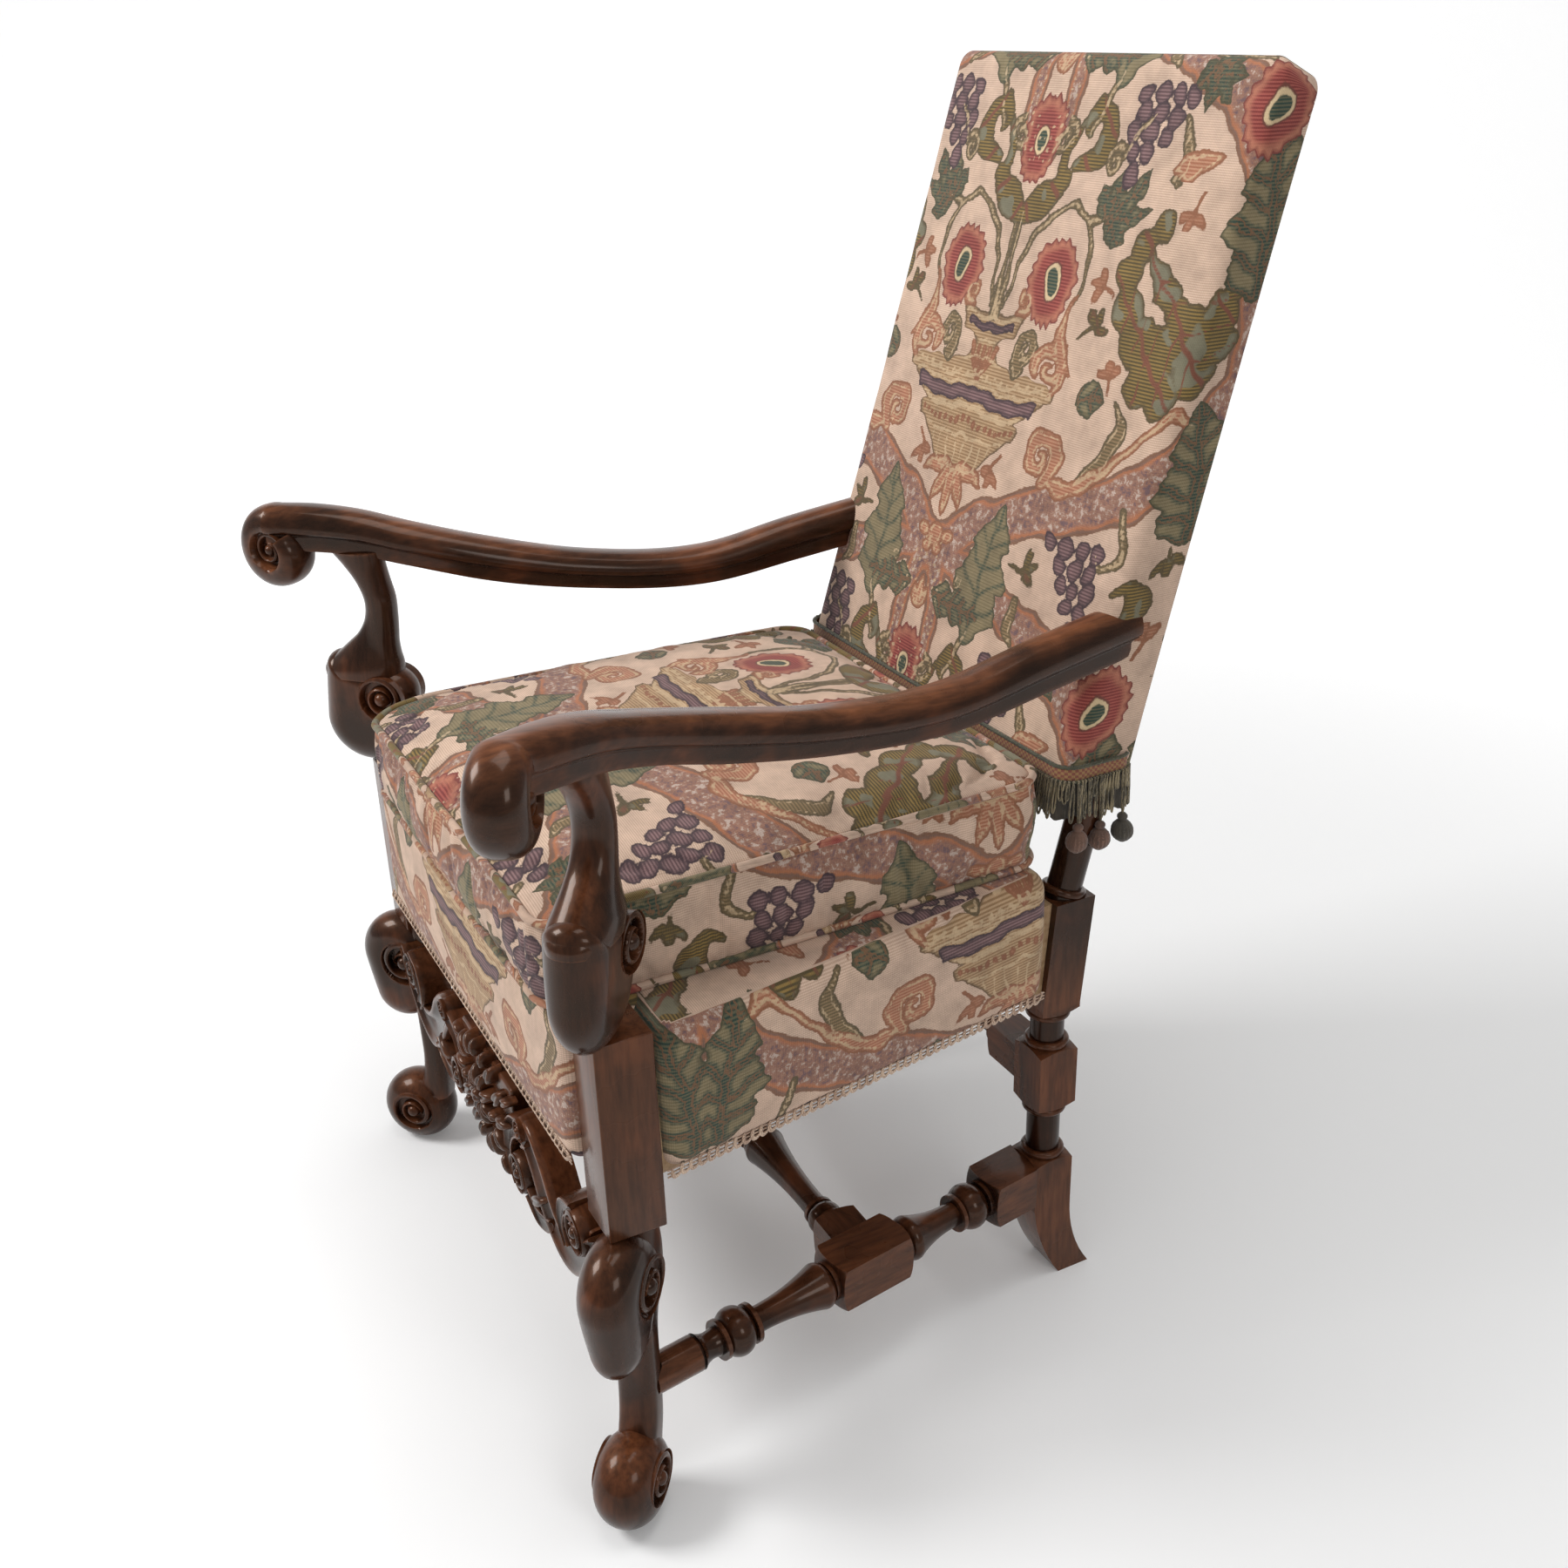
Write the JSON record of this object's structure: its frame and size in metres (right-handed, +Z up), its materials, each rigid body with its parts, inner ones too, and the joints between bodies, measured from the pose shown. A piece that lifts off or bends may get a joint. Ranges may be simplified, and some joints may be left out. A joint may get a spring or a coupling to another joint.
{
  "type": "upholstered armchair",
  "caption": "High-backed upholstered armchair with scrolled walnut arms and legs, turned stretchers, carved front stretcher, loose seat cushion and tasselled trim.",
  "frame": {"origin": "centre of the bounding box in plan, on the floor", "axes": "+Z up, the chair faces -Y, +X is the sitter's left"},
  "size_m": [0.7496, 0.7846, 1.1189],
  "materials": {
    "walnut": "polished walnut",
    "beech": "plain beech",
    "screw_steel": "plain",
    "webbing": "woven",
    "tapestry": "woven tapestry",
    "gimp": "woven braid",
    "filling": "feather-filled ticking",
    "back_cloth": "plain weave",
    "braid": "woven braid",
    "fringe": "looped fringe"
  },
  "bodies": {
    "frame": {"front_leg_left": "walnut", "front_leg_right": "walnut", "arm_support_left": "walnut", "arm_support_right": "walnut", "arm_left": "walnut", "arm_right": "walnut", "arm_pegs": "walnut", "rear_post_left": "walnut", "rear_post_right": "walnut", "front_stretcher": "walnut", "side_stretcher_left": "walnut", "side_stretcher_right": "walnut", "cross_stretcher": "walnut", "rear_stretcher": "walnut", "front_rail": "beech", "rear_rail": "beech", "side_rail_left": "beech", "side_rail_right": "beech", "front_corner_block_left": "beech", "front_corner_block_right": "beech", "rear_corner_block_left": "beech", "rear_corner_block_right": "beech", "corner_block_screws": "screw_steel", "seat_webbing": "webbing", "seat_upholstery": "tapestry", "seat_gimp_front": "gimp", "seat_gimp_left": "gimp", "seat_gimp_right": "gimp", "back_bottom_rail": "beech", "back_top_rail": "beech", "back_webbing": "webbing", "back_upholstery": "tapestry", "back_outside_cover": "back_cloth", "back_braid": "braid", "back_fringe": "fringe", "back_tassels": "fringe"},
    "seat_cushion": {"cushion_cover": "tapestry", "cushion_filling": "filling"}
  },
  "joints": [
    {"name": "cushion_slide", "type": "slide", "parent": "frame", "child": "seat_cushion", "axis": [0, -1, 0], "range_m": [0, 0.62]}
  ]
}
